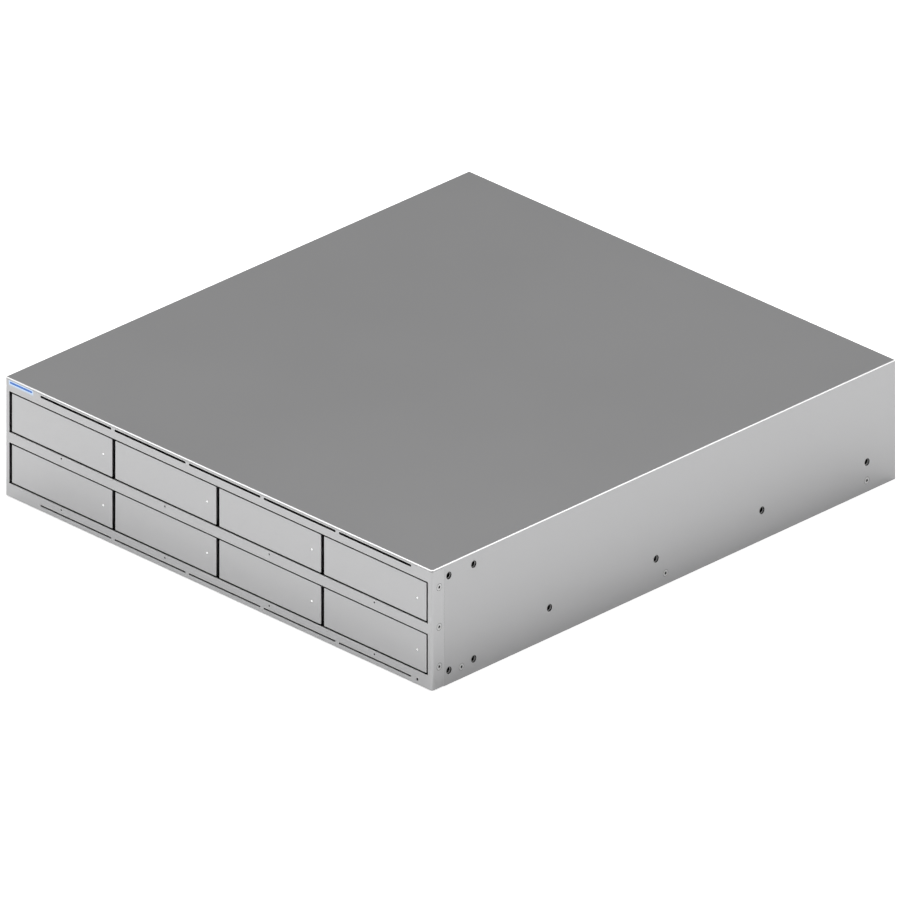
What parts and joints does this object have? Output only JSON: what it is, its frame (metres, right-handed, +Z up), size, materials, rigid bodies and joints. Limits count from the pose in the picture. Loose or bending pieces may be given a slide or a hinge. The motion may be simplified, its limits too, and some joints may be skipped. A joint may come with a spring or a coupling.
{
  "type": "rackmount nas server",
  "caption": "Low wide silver rack case with rows of hinged drive-tray doors in its front, side holes for rack ears and rails, and fans, ports and slide-out power modules at its rear.",
  "frame": {"origin": "middle of the underside, on the plane the case rests on", "axes": "+X to the right seen from the front, +Y to the rear, +Z up"},
  "size_m": [0.4424, 0.4957, 0.087],
  "materials": {
    "cover_metal": "satin silver",
    "fascia_metal": "satin silver",
    "door_metal": "satin silver",
    "plated_steel": "zinc plated",
    "tray_metal": "dark anodised",
    "drive_case": "cast",
    "board": "solder mask",
    "socket_plastic": "moulded",
    "chip": "moulded",
    "screw_steel": "nickel plated",
    "nut_steel": "zinc plated",
    "heatsink": "extruded",
    "port_metal": "tinned",
    "fan_plastic": "moulded black",
    "module_metal": "plated",
    "inlet_plastic": "moulded black",
    "lever_plastic": "moulded",
    "light_guide": "clear tinted",
    "light_pipe": "clear",
    "button_plastic": "moulded",
    "cable": "vinyl"
  },
  "bodies": {
    "chassis": {"top_cover": "cover_metal", "front_fascia": "fascia_metal", "base_tray": "plated_steel", "drive_cage": "plated_steel", "rear_panel": "plated_steel", "power_bay": "plated_steel", "drive_backplane": "board", "main_board": "board", "power_board": "board", "front_boards": "board", "memory_modules": "board", "backplane_sockets": "socket_plastic", "processor": "chip", "panel_screws": "screw_steel", "fan_screws": "screw_steel", "board_screws": "screw_steel", "board_standoffs": "screw_steel", "side_nuts": "nut_steel", "processor_heatsink": "heatsink", "network_jack": "port_metal", "fibre_cages": "port_metal", "fan_frames": "fan_plastic", "status_light": "light_guide", "drive_light_pipes": "light_pipe", "inner_cables": "cable"},
    "tray_1": {"tray_1": "tray_metal", "drive_1": "drive_case"},
    "tray_door_1": {"tray_door_1": "door_metal"},
    "tray_2": {"tray_2": "tray_metal", "drive_2": "drive_case"},
    "tray_door_2": {"tray_door_2": "door_metal"},
    "tray_3": {"tray_3": "tray_metal", "drive_3": "drive_case"},
    "tray_door_3": {"tray_door_3": "door_metal"},
    "tray_4": {"tray_4": "tray_metal", "drive_4": "drive_case"},
    "tray_door_4": {"tray_door_4": "door_metal"},
    "tray_5": {"tray_5": "tray_metal", "drive_5": "drive_case"},
    "tray_door_5": {"tray_door_5": "door_metal"},
    "tray_6": {"tray_6": "tray_metal", "drive_6": "drive_case"},
    "tray_door_6": {"tray_door_6": "door_metal"},
    "tray_7": {"tray_7": "tray_metal", "drive_7": "drive_case"},
    "tray_door_7": {"tray_door_7": "door_metal"},
    "tray_8": {"tray_8": "tray_metal", "drive_8": "drive_case"},
    "tray_door_8": {"tray_door_8": "door_metal"},
    "power_module_1": {"power_module_1": "module_metal", "power_inlet_1": "inlet_plastic"},
    "release_lever_1": {"release_lever_1": "lever_plastic"},
    "power_fan_rotor_1": {"power_fan_rotor_1": "fan_plastic"},
    "power_module_2": {"power_module_2": "module_metal", "power_inlet_2": "inlet_plastic"},
    "release_lever_2": {"release_lever_2": "lever_plastic"},
    "power_fan_rotor_2": {"power_fan_rotor_2": "fan_plastic"},
    "fan_rotor_1": {"fan_rotor_1": "fan_plastic"},
    "fan_rotor_2": {"fan_rotor_2": "fan_plastic"},
    "reset_button": {"reset_button": "button_plastic"}
  },
  "joints": [
    {"name": "tray_slide_1", "type": "slide", "parent": "chassis", "child": "tray_1", "axis": [0, -1, 0], "range_m": [0, 0.15]},
    {"name": "tray_door_hinge_1", "type": "hinge", "parent": "tray_1", "child": "tray_door_1", "pos_m": [-0.21288, -0.2373, 0.06255], "axis": [0, 0, -1], "range_deg": [0, 70]},
    {"name": "tray_slide_2", "type": "slide", "parent": "chassis", "child": "tray_2", "axis": [0, -1, 0], "range_m": [0, 0.15]},
    {"name": "tray_door_hinge_2", "type": "hinge", "parent": "tray_2", "child": "tray_door_2", "pos_m": [-0.10472, -0.2373, 0.06255], "axis": [0, 0, -1], "range_deg": [0, 70]},
    {"name": "tray_slide_3", "type": "slide", "parent": "chassis", "child": "tray_3", "axis": [0, -1, 0], "range_m": [0, 0.15]},
    {"name": "tray_door_hinge_3", "type": "hinge", "parent": "tray_3", "child": "tray_door_3", "pos_m": [0.00343, -0.2373, 0.06255], "axis": [0, 0, -1], "range_deg": [0, 70]},
    {"name": "tray_slide_4", "type": "slide", "parent": "chassis", "child": "tray_4", "axis": [0, -1, 0], "range_m": [0, 0.15]},
    {"name": "tray_door_hinge_4", "type": "hinge", "parent": "tray_4", "child": "tray_door_4", "pos_m": [0.11157, -0.2373, 0.06255], "axis": [0, 0, -1], "range_deg": [0, 70]},
    {"name": "tray_slide_5", "type": "slide", "parent": "chassis", "child": "tray_5", "axis": [0, -1, 0], "range_m": [0, 0.15]},
    {"name": "tray_door_hinge_5", "type": "hinge", "parent": "tray_5", "child": "tray_door_5", "pos_m": [-0.21288, -0.2373, 0.02515], "axis": [0, 0, -1], "range_deg": [0, 70]},
    {"name": "tray_slide_6", "type": "slide", "parent": "chassis", "child": "tray_6", "axis": [0, -1, 0], "range_m": [0, 0.15]},
    {"name": "tray_door_hinge_6", "type": "hinge", "parent": "tray_6", "child": "tray_door_6", "pos_m": [-0.10472, -0.2373, 0.02515], "axis": [0, 0, -1], "range_deg": [0, 70]},
    {"name": "tray_slide_7", "type": "slide", "parent": "chassis", "child": "tray_7", "axis": [0, -1, 0], "range_m": [0, 0.15]},
    {"name": "tray_door_hinge_7", "type": "hinge", "parent": "tray_7", "child": "tray_door_7", "pos_m": [0.00343, -0.2373, 0.02515], "axis": [0, 0, -1], "range_deg": [0, 70]},
    {"name": "tray_slide_8", "type": "slide", "parent": "chassis", "child": "tray_8", "axis": [0, -1, 0], "range_m": [0, 0.15]},
    {"name": "tray_door_hinge_8", "type": "hinge", "parent": "tray_8", "child": "tray_door_8", "pos_m": [0.11157, -0.2373, 0.02515], "axis": [0, 0, -1], "range_deg": [0, 70]},
    {"name": "power_module_slide_1", "type": "slide", "parent": "chassis", "child": "power_module_1", "axis": [0, 1, 0], "range_m": [0, 0.19]},
    {"name": "release_lever_hinge_1", "type": "hinge", "parent": "power_module_1", "child": "release_lever_1", "pos_m": [-0.1448, 0.2157, 0.0646], "axis": [0, 0, 1], "range_deg": [0, 6], "stiffness_Nm_per_rad": 0.5},
    {"name": "power_fan_spin_1", "type": "hinge", "parent": "power_module_1", "child": "power_fan_rotor_1", "pos_m": [-0.167, 0.2317, 0.0646], "axis": [0, 1, 0], "continuous": true},
    {"name": "power_module_slide_2", "type": "slide", "parent": "chassis", "child": "power_module_2", "axis": [0, 1, 0], "range_m": [0, 0.19]},
    {"name": "release_lever_hinge_2", "type": "hinge", "parent": "power_module_2", "child": "release_lever_2", "pos_m": [-0.1448, 0.2157, 0.0223], "axis": [0, 0, 1], "range_deg": [0, 6], "stiffness_Nm_per_rad": 0.5},
    {"name": "power_fan_spin_2", "type": "hinge", "parent": "power_module_2", "child": "power_fan_rotor_2", "pos_m": [-0.167, 0.2317, 0.0223], "axis": [0, 1, 0], "continuous": true},
    {"name": "fan_spin_1", "type": "hinge", "parent": "chassis", "child": "fan_rotor_1", "pos_m": [-0.0948, 0.226, 0.0435], "axis": [0, 1, 0], "continuous": true},
    {"name": "fan_spin_2", "type": "hinge", "parent": "chassis", "child": "fan_rotor_2", "pos_m": [-0.0108, 0.226, 0.0435], "axis": [0, 1, 0], "continuous": true},
    {"name": "reset_button_travel", "type": "slide", "parent": "chassis", "child": "reset_button", "axis": [0, 1, 0], "range_m": [0, 0.0006], "stiffness_N_per_m": 1000}
  ]
}
